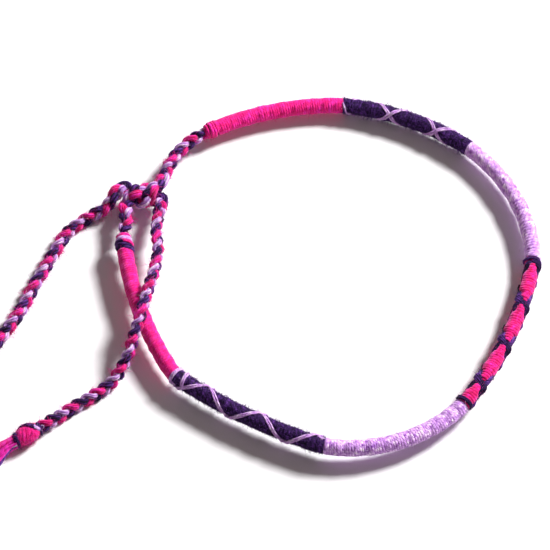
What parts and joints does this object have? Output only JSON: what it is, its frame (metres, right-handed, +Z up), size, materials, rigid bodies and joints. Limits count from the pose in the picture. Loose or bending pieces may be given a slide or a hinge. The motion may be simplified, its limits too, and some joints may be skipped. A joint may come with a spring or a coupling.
{
  "type": "friendship bracelet",
  "caption": "Thread-wrapped friendship bracelet in pink, purple and lilac cotton, with crossed threads and two knotted braids, lying on its side.",
  "frame": {"origin": "middle of the ring, on the table that it lies on", "axes": "+Z up, along the wrist's way through the ring; +X across the ring, away from the knot; +Y towards the first pink section"},
  "size_m": [0.0915, 0.0687, 0.0052],
  "materials": {
    "pink_floss": "wound cotton floss, hot pink",
    "purple_floss": "wound cotton floss, deep purple",
    "lilac_floss": "wound cotton floss, lilac",
    "core_strands": "bundle of cotton strands inside the wraps"
  },
  "bodies": {
    "root": {"core": "core_strands", "wrap_1_pink": "pink_floss", "wrap_2_purple": "purple_floss", "wrap_3_lilac": "lilac_floss", "wrap_4_pink": "pink_floss", "wrap_5_lilac": "lilac_floss", "wrap_6_purple": "purple_floss", "wrap_7_pink": "pink_floss", "cross_2_under": "lilac_floss", "cross_2_over": "lilac_floss", "cross_4_under": "purple_floss", "cross_4_over": "purple_floss", "cross_6_under": "lilac_floss", "cross_6_over": "lilac_floss", "end_cap_a": "pink_floss", "end_knob_b": "purple_floss", "braid_a_pink": "pink_floss", "braid_a_purple": "purple_floss", "braid_a_lilac": "lilac_floss", "braid_b_pink": "pink_floss", "braid_b_purple": "purple_floss", "braid_b_lilac": "lilac_floss", "end_knot_a": "pink_floss", "end_knot_b": "pink_floss", "tuft_a": "pink_floss", "tuft_b": "pink_floss"}
  },
  "joints": []
}
